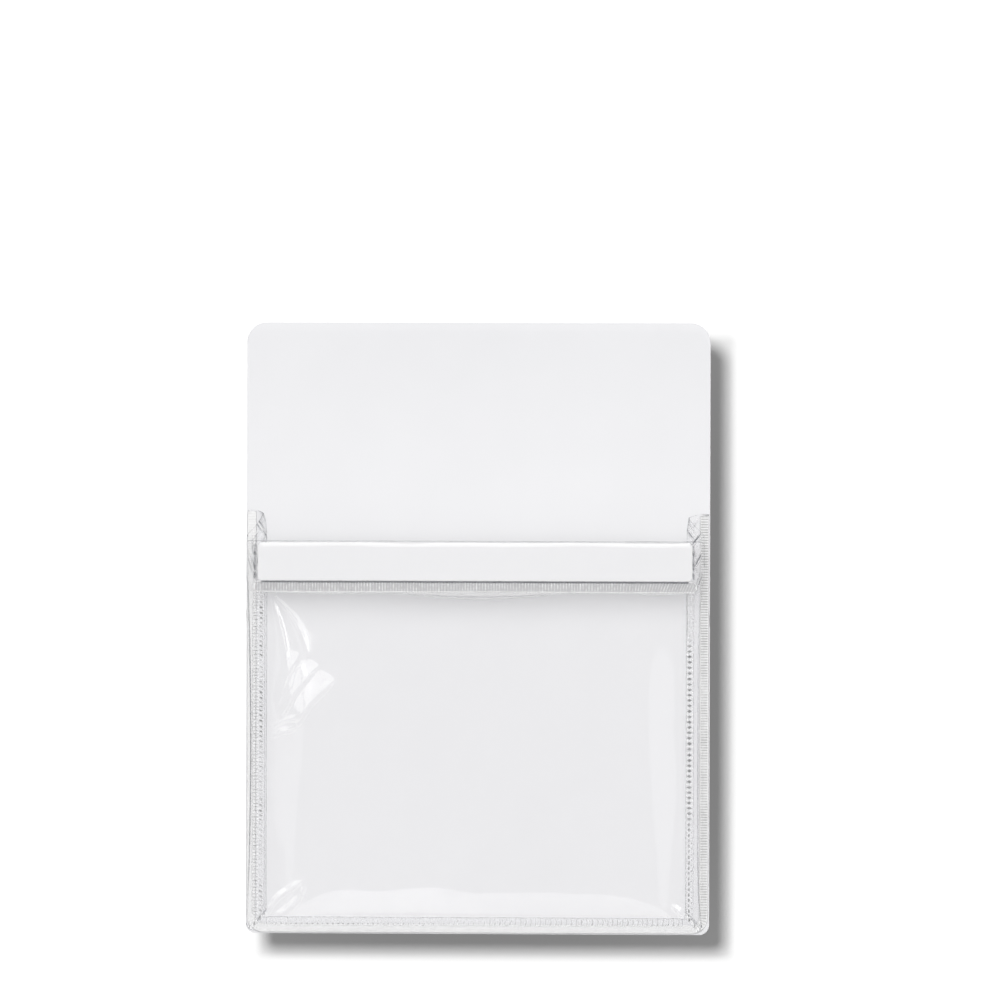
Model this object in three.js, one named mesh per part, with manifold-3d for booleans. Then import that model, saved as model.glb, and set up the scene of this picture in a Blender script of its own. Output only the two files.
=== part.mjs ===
// Magnetic document pocket, in millimetres, +Z up.
// A stiff white vinyl panel hangs upright on a steel surface by magnet strips taped to its back.
// A clear film pocket is welded to its front: a bellows along each side and the bottom, and a front
// film whose top is folded forward into a sleeve for a label.
// +Y points at the steel surface. The origin is the centre of the middle magnet's rear face.

import * as THREE from "three";
import { mergeVertices } from "three/addons/utils/BufferGeometryUtils.js";
import Module from "manifold-3d";

const wasm = await Module();
wasm.setup();

// Panel
const panelWidth = 235;
const panelHeight = 308;
const panelThickness = 1;
const panelTopRadius = 10;
const panelBottomRadius = 5;

// Magnet strips, and the double-sided tape that holds them
const magnetHeight = 25.4;
const magnetThickness = 1.5;
const magnetSideInset = 10; // panel's side edge to the strip's end
const magnetEndInset = 12.3; // panel's top or bottom edge to the nearest strip
const tapeThickness = 0.2;
const tapeInset = 0.7; // strip's edge to the tape's edge

// Bellows of clear film. Insets are measured from the panel's own edge.
const filmThickness = 0.4;
const pocketHeight = 198; // panel's bottom edge to the pocket's mouth
const pocketDepth = 12; // panel's face to the front of the bellows
const flangeInset = 0.5; // film edge of the flange that is welded to the panel
const flangeWidth = 4.5;
const creaseReach = 6.5; // how far the inner crease lies beyond the flange
const bendInset = 0.4; // where the film would turn if the outer bend were sharp
const sideBandReach = 11.6; // width of the front band, from that turn to its film edge
const bottomBandReach = 9.1;
const backRise = 14.5; // the side bellows' top above the mouth, at the panel
const creaseRise = 12.5; // at the inner crease
const frontRise = 1.5; // and at the front
const cornerRadius = 9; // of the pocket's lower corners, at the panel's edge
const creaseEasing = 1.2; // length of film that each fold rounds off on both its legs
const bendEasing = 3.2;
const seamClearance = 0.3; // between films that are welded to each other

// Front film and label sleeve
const frontInset = 2.5; // panel's edge to the front film's edge, at the sides and the bottom
const labelHeight = 19;
const labelThickness = 0.6;
const labelCornerRadius = 2.2;
const labelEndInset = 5; // sleeve's open end to the label's end
const labelClearance = 0.3;
const hemSlope = 1.2; // height over which the sleeve narrows to its weld
const hemHeight = 4.3; // height of the weld under the sleeve
const hemMargin = 2.5; // free film below the weld

const arcSteps = 6;
const foldSteps = 4;

// Levels from the steel surface forward, along -Y
const tapeBack = -magnetThickness;
const panelBack = tapeBack - tapeThickness;
const panelFace = panelBack - panelThickness;
const frontFilmBack = panelFace - pocketDepth - seamClearance;
const slotBack = frontFilmBack - filmThickness;
const slotFront = slotBack - labelThickness - 2 * labelClearance;
const sleeveFront = slotFront - filmThickness;

// Heights
const panelBottom = -panelHeight / 2;
const mouth = panelBottom + pocketHeight;
const slotTop = mouth - filmThickness;
const slotFloor = slotTop - labelHeight - 2 * labelClearance;
const shoulder = slotFloor - filmThickness;
const hemTop = shoulder - hemSlope;
const hemEdge = hemTop - hemHeight - hemMargin;

const whiteVinyl = new THREE.MeshStandardMaterial({ color: 0xefeff1, roughness: 0.5, metalness: 0 });
const clearFilm = new THREE.MeshStandardMaterial({
  color: 0xf3f5f6,
  roughness: 0.08,
  metalness: 0,
  transparent: true,
  opacity: 0.25,
});
const whiteCard = new THREE.MeshStandardMaterial({ color: 0xf6f6f7, roughness: 0.6, metalness: 0 });
const ferriteRubber = new THREE.MeshStandardMaterial({ color: 0x2b2a29, roughness: 0.7, metalness: 0 });
const tapeAdhesive = new THREE.MeshStandardMaterial({ color: 0xdcd8c8, roughness: 0.5, metalness: 0 });

// The way an outline drawn in two of the object's axes is carried along the third
const upright = new THREE.Matrix4().makeBasis(
  new THREE.Vector3(1, 0, 0),
  new THREE.Vector3(0, 0, 1),
  new THREE.Vector3(0, -1, 0),
);
const crosswise = new THREE.Matrix4().makeBasis(
  new THREE.Vector3(0, 1, 0),
  new THREE.Vector3(0, 0, 1),
  new THREE.Vector3(1, 0, 0),
);

function namedMesh(name, geometry, material) {
  const mesh = new THREE.Mesh(geometry, material);
  mesh.name = name;
  return mesh;
}

// A rectangle with round corners, centred on the origin
function roundedRectangle(width, height, topRadius, bottomRadius) {
  const x = width / 2;
  const z = height / 2;
  const shape = new THREE.Shape();
  shape.absarc(x - topRadius, z - topRadius, topRadius, 0, Math.PI / 2);
  shape.absarc(topRadius - x, z - topRadius, topRadius, Math.PI / 2, Math.PI);
  shape.absarc(bottomRadius - x, bottomRadius - z, bottomRadius, Math.PI, 1.5 * Math.PI);
  shape.absarc(x - bottomRadius, bottomRadius - z, bottomRadius, 1.5 * Math.PI, 2 * Math.PI);
  return shape;
}

function rectangle(width, height) {
  const x = width / 2;
  const z = height / 2;
  return new THREE.Shape([
    new THREE.Vector2(-x, -z),
    new THREE.Vector2(x, -z),
    new THREE.Vector2(x, z),
    new THREE.Vector2(-x, z),
  ]);
}

// A flat sheet whose rear face lies at back, with its thickness ahead of it
function sheet(shape, back, height, thickness) {
  const options = { depth: thickness, bevelEnabled: false, curveSegments: arcSteps };
  return new THREE.ExtrudeGeometry(shape, options).applyMatrix4(upright).translate(0, back, height);
}

function toSolid(geometry) {
  const bare = geometry.clone();
  bare.deleteAttribute("normal");
  bare.deleteAttribute("uv");
  const merged = mergeVertices(bare);
  const vertProperties = merged.attributes.position.array;
  const triVerts = new Uint32Array(merged.index.array);
  return new wasm.Manifold(new wasm.Mesh({ numProp: 3, vertProperties, triVerts }));
}

function toGeometry(solid) {
  const { vertProperties, triVerts } = solid.getMesh();
  const geometry = new THREE.BufferGeometry();
  geometry.setAttribute("position", new THREE.BufferAttribute(vertProperties, 3));
  geometry.setIndex(new THREE.BufferAttribute(triVerts, 1));
  geometry.computeVertexNormals();
  return geometry;
}

// Rounds a film's lower corners, along an outline that lies inset from the panel's edge
function cornersRounded(geometry, inset) {
  const radius = cornerRadius - inset;
  const outline = roundedRectangle(panelWidth - 2 * inset, panelHeight - 2 * inset, panelTopRadius, radius);
  const trim = sheet(outline, panelBack, 0, panelBack - sleeveFront + filmThickness);
  return toGeometry(toSolid(geometry).intersect(toSolid(trim)));
}

// The bellows' centre line as [inset, depth] points, rounded at its three folds
function bellowsLine(bandReach) {
  const half = filmThickness / 2;
  const flangeEnd = flangeInset + flangeWidth;
  const corners = [
    [flangeInset, half],
    [flangeEnd, half],
    [flangeEnd + creaseReach, pocketDepth / 2],
    [bendInset, pocketDepth - half],
    [bendInset + bandReach, pocketDepth - half],
  ].map(([inset, depth]) => new THREE.Vector2(inset, depth));
  const easings = [creaseEasing, creaseEasing, bendEasing];
  const line = new THREE.Path().moveTo(corners[0].x, corners[0].y);
  easings.forEach((easing, i) => {
    const [before, corner, after] = corners.slice(i, i + 3);
    const start = before.clone().sub(corner).setLength(easing).add(corner);
    const end = after.clone().sub(corner).setLength(easing).add(corner);
    line.lineTo(start.x, start.y);
    line.quadraticCurveTo(corner.x, corner.y, end.x, end.y);
  });
  line.lineTo(corners[4].x, corners[4].y);
  return line.getPoints(foldSteps);
}

// Gives a centre line the film's thickness, half of it to each side
function filmOutline(line) {
  const turnLeft = (v) => new THREE.Vector2(-v.y, v.x);
  const sides = line.map((point, i) => {
    const before = line[Math.max(i - 1, 0)];
    const after = line[Math.min(i + 1, line.length - 1)];
    const arriving = point.clone().sub(before);
    const leaving = after.clone().sub(point);
    const first = turnLeft(arriving.lengthSq() > 0 ? arriving : leaving).normalize();
    const second = turnLeft(leaving.lengthSq() > 0 ? leaving : arriving).normalize();
    const reach = first.clone().add(second).multiplyScalar(filmThickness / 2 / (1 + first.dot(second)));
    return [point.clone().add(reach), point.clone().sub(reach)];
  });
  return [...sides.map(([one]) => one), ...sides.map(([, other]) => other).reverse()];
}

// Carries an outline from startAt to endAt, which may differ from point to point, as at a mitre
function filmStrip(outline, startAt, endAt) {
  const options = { depth: 1, bevelEnabled: false };
  const geometry = new THREE.ExtrudeGeometry(new THREE.Shape(outline), options);
  const position = geometry.attributes.position;
  for (let i = 0; i < position.count; i += 1) {
    const limit = position.getZ(i) > 0.5 ? endAt : startAt;
    position.setZ(i, limit(position.getX(i), position.getY(i)));
  }
  return geometry;
}

function sideGusset(name, side) {
  const outline = filmOutline(bellowsLine(sideBandReach)).map(
    ([inset, depth]) => new THREE.Vector2(side * (panelWidth / 2 - inset), panelFace - depth),
  );
  const mitre = (x) => panelBottom + panelWidth / 2 - Math.abs(x) + seamClearance;
  const halfDepth = pocketDepth / 2;
  const top = (x, y) => {
    const beyondCrease = (panelFace - y) / halfDepth - 1;
    const farRise = beyondCrease < 0 ? backRise : frontRise;
    return mouth + creaseRise + Math.abs(beyondCrease) * (farRise - creaseRise);
  };
  const geometry = cornersRounded(filmStrip(outline, mitre, top), flangeInset);
  return namedMesh(name, geometry, clearFilm);
}

function bottomGusset() {
  const outline = filmOutline(bellowsLine(bottomBandReach)).map(
    ([inset, depth]) => new THREE.Vector2(panelFace - depth, panelBottom + inset),
  );
  const mitre = (y, z) => panelWidth / 2 - (z - panelBottom) - seamClearance;
  const strip = filmStrip(outline, (y, z) => -mitre(y, z), mitre).applyMatrix4(crosswise);
  return namedMesh("bottom_gusset", cornersRounded(strip, flangeInset), clearFilm);
}

// The front film's section, drawn in y and z: up from its bottom edge, over the mouth and down to the hem
function frontPanel() {
  const bottom = panelBottom + frontInset;
  const foldRadius = (frontFilmBack - sleeveFront) / 2;
  const foldCentre = frontFilmBack - foldRadius;
  const hemFront = slotBack - filmThickness;
  const section = new THREE.Shape();
  section.moveTo(slotBack, bottom);
  section.lineTo(frontFilmBack, bottom);
  section.absarc(foldCentre, mouth - foldRadius, foldRadius, 0, Math.PI);
  section.lineTo(sleeveFront, shoulder);
  section.lineTo(hemFront, hemTop);
  section.lineTo(hemFront, hemEdge);
  section.lineTo(slotBack, hemEdge);
  const slotRadius = foldRadius - filmThickness;
  const slot = new THREE.Path();
  slot.moveTo(slotFront, slotFloor);
  slot.lineTo(slotBack, slotFloor);
  slot.absarc(foldCentre, slotTop - slotRadius, slotRadius, 0, Math.PI);
  section.holes.push(slot);
  const width = panelWidth - 2 * frontInset;
  const options = { depth: width, bevelEnabled: false, curveSegments: arcSteps };
  const geometry = new THREE.ExtrudeGeometry(section, options).translate(0, 0, -width / 2);
  return namedMesh("front_panel", cornersRounded(geometry.applyMatrix4(crosswise), frontInset), clearFilm);
}

function labelStrip() {
  const length = panelWidth - 2 * frontInset - 2 * labelEndInset;
  const shape = roundedRectangle(length, labelHeight, labelCornerRadius, labelCornerRadius);
  const height = slotFloor + labelClearance + labelHeight / 2;
  const geometry = sheet(shape, slotBack - labelClearance, height, labelThickness);
  return namedMesh("label_strip", geometry, whiteCard);
}

function backPanel() {
  const shape = roundedRectangle(panelWidth, panelHeight, panelTopRadius, panelBottomRadius);
  return namedMesh("back_panel", sheet(shape, panelBack, 0, panelThickness), whiteVinyl);
}

// A magnet strip and the tape between it and the panel
function magnetAndTape(place, height) {
  const length = panelWidth - 2 * magnetSideInset;
  const magnet = sheet(rectangle(length, magnetHeight), 0, height, magnetThickness);
  const tapeShape = rectangle(length - 2 * tapeInset, magnetHeight - 2 * tapeInset);
  const tape = sheet(tapeShape, tapeBack, height, tapeThickness);
  const pair = new THREE.Group();
  pair.add(namedMesh(`magnet_strip_${place}`, magnet, ferriteRubber));
  pair.add(namedMesh(`adhesive_tape_${place}`, tape, tapeAdhesive));
  return pair;
}

const outerMagnet = panelHeight / 2 - magnetEndInset - magnetHeight / 2;

const backing = new THREE.Group();
backing.add(backPanel());
backing.add(magnetAndTape("top", outerMagnet));
backing.add(magnetAndTape("middle", 0));
backing.add(magnetAndTape("bottom", -outerMagnet));

const pocket = new THREE.Group();
pocket.add(sideGusset("left_gusset", -1));
pocket.add(sideGusset("right_gusset", 1));
pocket.add(bottomGusset());
pocket.add(frontPanel());
pocket.add(labelStrip());

const documentPocket = new THREE.Group();
documentPocket.add(backing, pocket);

export default documentPocket;
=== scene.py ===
import math

import bpy
import numpy as np
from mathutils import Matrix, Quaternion, Vector


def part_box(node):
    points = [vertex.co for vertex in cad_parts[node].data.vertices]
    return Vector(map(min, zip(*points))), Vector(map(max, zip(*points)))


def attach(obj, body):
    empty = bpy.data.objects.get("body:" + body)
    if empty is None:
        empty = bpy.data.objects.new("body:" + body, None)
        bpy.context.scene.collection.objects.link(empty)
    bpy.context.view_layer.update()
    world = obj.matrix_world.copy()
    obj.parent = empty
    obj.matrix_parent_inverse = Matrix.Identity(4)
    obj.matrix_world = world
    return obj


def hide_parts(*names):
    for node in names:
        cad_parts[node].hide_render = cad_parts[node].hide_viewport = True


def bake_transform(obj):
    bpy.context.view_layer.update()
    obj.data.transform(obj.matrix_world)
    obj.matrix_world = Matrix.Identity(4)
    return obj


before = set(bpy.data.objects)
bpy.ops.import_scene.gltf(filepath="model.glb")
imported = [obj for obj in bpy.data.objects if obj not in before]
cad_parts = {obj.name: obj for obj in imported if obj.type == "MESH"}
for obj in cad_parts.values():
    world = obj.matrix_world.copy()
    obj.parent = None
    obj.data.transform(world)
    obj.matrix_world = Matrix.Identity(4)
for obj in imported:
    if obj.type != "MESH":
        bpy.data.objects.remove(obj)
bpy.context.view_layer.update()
mm = 0.001


# Frame: sizes in millimetres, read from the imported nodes

def nodeBox(node):
    low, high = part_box(node)
    return np.array(low) / mm, np.array(high) / mm


panelLow, panelHigh = nodeBox("back_panel")
filmLow, filmHigh = nodeBox("front_panel")
gussetLow, gussetHigh = nodeBox("right_gusset")
labelLow, labelHigh = nodeBox("label_strip")
halfPanel = panelHigh[0]
panelFace = panelLow[1]
panelBottom = panelLow[2]
mouth = filmHigh[2]

bellows = {
    "film": 0.4,  # thickness of every film
    "depth": panelFace - gussetLow[1],  # panel's face to the front of the bellows
    "flangeInset": halfPanel - gussetHigh[0],  # panel's edge to the film's edge
    "flangeWidth": 4.5,
    "creaseReach": 6.5,  # the inner crease beyond the flange
    "bendInset": 0.4,  # where the outer bend would be if it were sharp
    "sideBand": 11.6,  # front band, from the bend to its film edge
    "bottomBand": 7.7,
    "bottomReach": 3.5,
    "creaseEasing": 1.2,
    "bendEasing": 3.2,
    "cornerRadius": 9.0,  # of the pocket's lower corners, at the panel's edge
    "seam": 0.3,  # between films that are welded to each other
    "points": [8, 8, 30, 10, 38, 16, 14],  # on each leg and each bend of the section in turn
}


# Shapes: grids of points worked out as whole arrays

def smoothStep(value, low, high):
    # runs from 0 at low to 1 at high as 3t squared minus 2t cubed
    t = np.clip((value - low) / (high - low), 0, 1)
    return t * t * (3 - 2 * t)


def bell(value, middle, half, power=2):
    # 1 at the middle, falling off as e to the minus of that power of the distance over half
    return np.exp(-((value - middle) / half) ** power)


def between(value, start, full, last, end):
    # 1 from full to last and 0 outside start and end, by smooth steps
    return smoothStep(value, start, full) * (1 - smoothStep(value, last, end))


def gridQuads(rows, cols, closed=False):
    # each quad joins a point to its neighbours in the next column and the next row; closed joins the last
    # column to the first
    index = np.arange(rows * cols).reshape(rows, cols)
    if closed:
        index = np.concatenate([index, index[:, :1]], axis=1)
    corners = [index[:-1, :-1], index[:-1, 1:], index[1:, 1:], index[1:, :-1]]
    return np.stack([c.ravel() for c in corners], axis=1)


def placeMesh(name, points, faces, flatMap=None, marks=None):
    # points in millimetres become a smooth mesh at its own place; flatMap is how far across and up each one
    # is on the flat sheet, kept as a UV, and marks are numbers kept at the points for the materials
    mesh = bpy.data.meshes.new(name)
    mesh.from_pydata((points * mm).tolist(), [], faces)
    mesh.polygons.foreach_set("use_smooth", np.ones(len(mesh.polygons), bool))
    if flatMap is not None:
        corner = np.zeros(len(mesh.loops), np.int32)
        mesh.loops.foreach_get("vertex_index", corner)
        flat = np.stack(np.broadcast_arrays(*flatMap), axis=-1).reshape(-1, 2)[corner] * mm
        mesh.uv_layers.new(name="flat").data.foreach_set("uv", flat.astype(np.float32).ravel())
    for key, values in (marks or {}).items():
        kept = mesh.attributes.new(key, "FLOAT", "POINT")
        kept.data.foreach_set("value", values.astype(np.float32).ravel())
    mesh.update()
    piece = bpy.data.objects.new(name, mesh)
    bpy.context.scene.collection.objects.link(piece)
    return piece


def sheetPiece(name, x, y, z, thickness, materials, flip=False, flatMap=None, marks=None):
    # a grid of points is the middle of a sheet, and Solidify gives half its thickness to each side
    rows, cols = x.shape
    quads = gridQuads(rows, cols)
    if flip:
        quads = quads[:, ::-1]
    piece = placeMesh(name, np.stack([x, y, z], axis=-1).reshape(-1, 3), quads.tolist(), flatMap, marks)
    for material in materials:
        piece.data.materials.append(material)
    wall = piece.modifiers.new("wall", "SOLIDIFY")
    wall.thickness = thickness * mm
    wall.offset = 0
    wall.material_offset_rim = len(materials) - 1
    return piece


def roundEdges(piece, radius, segments=2, sharp=50.0):
    # a bevel along the edges that turn by more than sharp degrees
    bevel = piece.modifiers.new("edge", "BEVEL")
    bevel.width = radius * mm
    bevel.segments = segments
    bevel.limit_method = "ANGLE"
    bevel.angle_limit = math.radians(sharp)


def roundedSheet(low, high, topRadius, bottomRadius, cols, rows, cornerPoints=14):
    # columns run across and each is cut to the height that the round corners leave there: a corner of
    # radius r takes r minus the root of r squared minus d squared off the end, d being how far it is into
    # the corner
    reach = max(topRadius, bottomRadius)
    turn = high[0] - reach * (1 - np.sin(np.linspace(0, math.pi / 2, cornerPoints)))
    x = np.concatenate([-turn[::-1], np.linspace(-turn[0], turn[0], cols)[1:-1], turn])

    def cut(radius):
        into = np.clip(np.abs(x) - (high[0] - radius), 0, radius)
        return radius - np.sqrt(np.clip(radius ** 2 - into ** 2, 0, None))

    bottom, top = low[2] + cut(bottomRadius), high[2] - cut(topRadius)
    share = np.linspace(0, 1, rows)[:, None]
    z = bottom + share * (top - bottom)
    return np.broadcast_to(x, z.shape).copy(), z


def easedLine(corners, easings, counts):
    # straight legs joined by parabolas: each corner is left out from its first easing before it to its
    # second easing after it; counts gives the points on each leg and on each parabola in turn
    corners = np.asarray(corners, float)
    legs = np.diff(corners, axis=0)
    unit = legs / np.linalg.norm(legs, axis=1)[:, None]
    starts = [corners[0], *(corners[i + 1] + unit[i + 1] * e[1] for i, e in enumerate(easings))]
    ends = [*(corners[i + 1] - unit[i] * e[0] for i, e in enumerate(easings)), corners[-1]]
    parts = []
    for i, (start, end) in enumerate(zip(starts, ends)):
        t = np.linspace(0, 1, counts[2 * i])[:, None]
        parts.append(start + t * (end - start))
        if i < len(easings):
            t = np.linspace(0, 1, counts[2 * i + 1] + 2)[1:-1, None]
            parts.append((1 - t) ** 2 * end + 2 * t * (1 - t) * corners[i + 1] + t ** 2 * starts[i + 1])
    line = np.concatenate(parts)
    along = np.concatenate([[0], np.cumsum(np.linalg.norm(np.diff(line, axis=0), axis=1))])
    return line, along


def buckle(u, v, at, size, turn, height):
    # a small dent or bump that falls off as a bell, longer one way than the other and turned in the film's
    # own plane
    c, s = math.cos(math.radians(turn)), math.sin(math.radians(turn))
    a = ((u - at[0]) * c + (v - at[1]) * s) / size[0]
    b = ((v - at[1]) * c - (u - at[0]) * s) / size[1]
    return height * np.exp(-a * a - b * b)


# Materials

def newMaterial(name):
    material = bpy.data.materials.new(name)
    material.use_nodes = True
    material.node_tree.nodes.clear()
    return material, material.node_tree


def node(tree, kind, sockets=None, **settings):
    # a node with its settings, and for each socket a number, a colour or the output that feeds it
    made = tree.nodes.new("ShaderNode" + kind)
    for key, value in settings.items():
        setattr(made, key, value)
    for key, value in (sockets or {}).items():
        if isinstance(value, bpy.types.NodeSocket):
            tree.links.new(value, made.inputs[key])
        else:
            made.inputs[key].default_value = value
    return made


def colourRamp(tree, factor, stops):
    ramp = node(tree, "ValToRGB", {"Fac": factor})
    while len(ramp.color_ramp.elements) < len(stops):
        ramp.color_ramp.elements.new(0.5)
    for element, (place, shade) in zip(ramp.color_ramp.elements, stops):
        element.position = place
        element.color = (*shade, 1)
    return ramp.outputs["Color"]


def stretch(tree, value, low, high, fromLow=0.0, fromHigh=1.0):
    made = node(tree, "MapRange", {"Value": value, "From Min": fromLow, "From Max": fromHigh,
                                   "To Min": low, "To Max": high})
    return made.outputs["Result"]


def noise(tree, place, scale, detail=3.0, rough=0.5):
    made = node(tree, "TexNoise", {"Vector": place, "Scale": scale, "Detail": detail, "Roughness": rough})
    return made.outputs["Fac"]


def maths(tree, operation, *values, clamp=False):
    # one step of arithmetic on numbers and outputs
    return node(tree, "Math", dict(enumerate(values)), operation=operation, use_clamp=clamp).outputs[0]


def objectPlace(tree):
    return node(tree, "TexCoord").outputs["Object"]


def drawnPlace(tree, scale):
    return node(tree, "Mapping", {"Vector": objectPlace(tree), "Scale": scale}).outputs["Vector"]


def relief(tree, height, strength, depth):
    return node(tree, "Bump", {"Height": height, "Strength": strength, "Distance": depth}).outputs["Normal"]


def partClear(tree, share, tint, cover):
    # clear film of this tint, which the cover hides by its share
    clear = node(tree, "BsdfTransparent", {"Color": tint})
    return node(tree, "MixShader", {0: share, 1: clear.outputs[0], 2: cover.outputs[0]})


def finishWith(tree, shader):
    node(tree, "OutputMaterial", {"Surface": shader.outputs[0]})


def finishSolid(tree, look, level, dull, raised):
    # an opaque face whose shade, roughness and fine relief follow these three
    finishWith(tree, node(tree, "BsdfPrincipled", {
        "Base Color": colourRamp(tree, level, look["shades"]),
        "Roughness": stretch(tree, dull, *look["rough"]),
        "Normal": relief(tree, raised, *look["relief"]),
    }))


vinylLook = {
    "shades": [(0.15, (0.835, 0.835, 0.853)), (0.35, (0.85, 0.85, 0.867)), (0.85, (0.918, 0.917, 0.934))],
    "cloudScale": 9.0,
    "cloud": 0.5,  # how much the clouds count
    "paintedLightBelow": (0.6, 0.0, 0.02, 0.15),  # painted light: how much lighter low down and high up, and these heights in metres
    "grainScale": 1700.0,
    "relief": (0.05, 0.0002),  # strength and depth
    "roughScale": 60.0,
    "rough": (0.42, 0.56),
}


def whiteVinyl():
    # calendered sheet: a faint cloudiness, a painted light that lightens it towards the foot, and a fine
    # grain in a satin face
    material, tree = newMaterial("white_vinyl")
    place = objectPlace(tree)
    height = node(tree, "SeparateXYZ", {0: place}).outputs["Z"]
    cloud = noise(tree, place, vinylLook["cloudScale"], 2.0)
    # painted light: lighter towards the foot
    paintedLightBelow = stretch(tree, height, *vinylLook["paintedLightBelow"])
    level = maths(tree, "MULTIPLY_ADD", cloud, vinylLook["cloud"], paintedLightBelow)
    dull = noise(tree, place, vinylLook["roughScale"])
    finishSolid(tree, vinylLook, level, dull, noise(tree, place, vinylLook["grainScale"], 2.0))
    return material


filmLook = {
    "folded": (0.5, (0.38, 0.39, 0.41)),  # seen along the film, as at a fold: from when on, and its tint
    "foldPower": 3.0,
    "mirrorPower": 5.0,
    "grazing": 0.3,  # share that mirrors when seen along the film
    "glossScale": 150.0,
    "creased": 0.46,  # how much a negative crease mark darkens: painted shade
    "stressed": 0.75,  # how much a positive crease mark whitens: partly stress whitening, partly painted highlight
    "hazeScale": 22.0,
    "haze": (0.0, 0.002),
    "hazeShade": (0.97, 0.972, 0.98, 1.0),
    "hazeRough": 0.4,
    "waveScale": 38.0,
    "waves": (0.035, 0.004),  # strength and depth
    # for each film: share that a face mirrors seen square on, gloss, how far it turns before it shades, tint
    "front": {"headOn": 0.03, "rough": (0.045, 0.06), "shadeFrom": 0.03, "clear": (0.9935, 0.993, 0.9935)},
    "side": {"headOn": 0.005, "rough": (0.14, 0.2), "shadeFrom": 0.04, "clear": (0.993, 0.993, 0.994)},
    "bottom": {"headOn": 0.004, "rough": (0.14, 0.2), "shadeFrom": 0.25, "clear": (0.994, 0.994, 0.995)},
}


def clearFilm(name, look):
    # soft clear film: it lets nearly all through, mirrors more as it turns away and shades at its folds;
    # a negative crease mark paints shade, and a positive one whitens, partly as stress whitening and partly
    # as a painted highlight
    material, tree = newMaterial(name)
    place = objectPlace(tree)
    wave = relief(tree, noise(tree, place, filmLook["waveScale"], 2.0), *filmLook["waves"])
    facing = node(tree, "LayerWeight", {"Blend": 0.5}).outputs["Facing"]
    away = maths(tree, "POWER", facing, filmLook["foldPower"])
    crease = node(tree, "Attribute", attribute_name="crease").outputs["Fac"]
    shade = maths(tree, "ADD", away, stretch(tree, crease, filmLook["creased"], 0.0, -1.0, 0.0))
    tint = colourRamp(tree, shade, [(look["shadeFrom"], look["clear"]), filmLook["folded"]])
    haze = node(tree, "BsdfPrincipled", {
        "Base Color": filmLook["hazeShade"], "Roughness": filmLook["hazeRough"], "Normal": wave})
    trace = stretch(tree, noise(tree, place, filmLook["hazeScale"]), *filmLook["haze"])
    raised = stretch(tree, crease, 0.0, filmLook["stressed"])
    body = partClear(tree, maths(tree, "ADD", trace, raised, clamp=True), tint, haze)
    rough = stretch(tree, noise(tree, place, filmLook["glossScale"]), *look["rough"])
    gloss = node(tree, "BsdfAnisotropic", {"Color": (1, 1, 1, 1), "Roughness": rough, "Normal": wave})
    mirrored = maths(tree, "POWER", facing, filmLook["mirrorPower"])
    glossShare = stretch(tree, mirrored, look["headOn"], filmLook["grazing"])
    finishWith(tree, node(tree, "MixShader", {0: glossShare, 1: body.outputs[0], 2: gloss.outputs[0]}))
    return material


edgeLook = {
    "nickScale": 900.0,
    "nicked": 0.85,  # shade of a nick beside the rest
    "rough": 0.25,
    "clear": (0.97, 0.972, 0.98, 1.0),
    "reach": 20.0,  # down from the mouth
}


def filmEdge(name, shade, below, above):
    # the cut edge of the film: a painted highlight where it would gather light, painted shade where it would
    # bend what is behind it; below and above say how much it hides there, seen from the mouth
    material, tree = newMaterial(name)
    place = objectPlace(tree)
    nicked = tuple(edgeLook["nicked"] * c for c in shade)
    tone = colourRamp(tree, noise(tree, place, edgeLook["nickScale"]), [(0.3, nicked), (0.7, shade)])
    cover = node(tree, "BsdfPrincipled", {"Base Color": tone, "Roughness": edgeLook["rough"]})
    height = node(tree, "SeparateXYZ", {0: place}).outputs["Z"]
    share = stretch(tree, height, below, above, (mouth - edgeLook["reach"]) * mm, mouth * mm)
    finishWith(tree, partClear(tree, share, edgeLook["clear"], cover))
    return material


weldLook = {
    "steps": (0.05, 0.5, 0.95),  # rib heights of the grooves, the body and the crests
    "speckScale": 520.0,
    "specks": (-0.1, 0.1, 0.25, 0.75),
    "rough": 0.28,
    "clear": (0.99, 0.991, 0.994, 1.0),
}


def pressedWeld(name, *tables):
    # a pressed weld: its grey follows the ribs that its shape has, from dark grooves, a painted shade, over
    # its body to pale crests, a painted highlight; the tables are the greys of these three, and how much
    # each of them hides
    material, tree = newMaterial(name)
    rib = node(tree, "Attribute", attribute_name="rib").outputs["Fac"]
    specks = stretch(tree, noise(tree, objectPlace(tree), weldLook["speckScale"], 2.0), *weldLook["specks"])
    level = maths(tree, "ADD", rib, specks, clamp=True)
    ramps = [[(at, (grey,) * 3) for at, grey in zip(weldLook["steps"], table)] for table in tables]
    shade, share = [colourRamp(tree, level, stops) for stops in ramps]
    cover = node(tree, "BsdfPrincipled", {"Base Color": shade, "Roughness": weldLook["rough"]})
    finishWith(tree, partClear(tree, share, weldLook["clear"], cover))
    return material


cardLook = {
    "shades": [(0.35, (0.97, 0.97, 0.985)), (0.7, (0.978, 0.978, 0.99)), (1.0, (1.0, 1.0, 1.0))],
    "drawn": (0.35, 1.0, 1.0),
    "fibre": (1300.0, 4.0, 0.6),  # scale, detail and roughness
    "relief": (0.06, 0.0001),
    "rough": (0.5, 0.7),
}


def whiteCard():
    # smooth white card with a trace of fibre lengthwise, and a painted highlight along its cut edge
    material, tree = newMaterial("label_card")
    fibre = noise(tree, drawnPlace(tree, cardLook["drawn"]), *cardLook["fibre"])
    edge = node(tree, "Attribute", attribute_name="edge").outputs["Fac"]
    finishSolid(tree, cardLook, maths(tree, "ADD", edge, fibre), fibre, fibre)
    return material


ferriteLook = {
    "shades": [(0.5, (0.018, 0.017, 0.016)), (0.9, (0.045, 0.042, 0.039))],
    "drawn": (0.04, 1.0, 1.0),
    "lineScale": 900.0,
    "lines": 0.4,  # how much they count beside the dust
    "dust": (240.0, 5.0, 0.65),
    "relief": (0.12, 0.0002),
    "rough": (0.5, 0.72),
}


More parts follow.
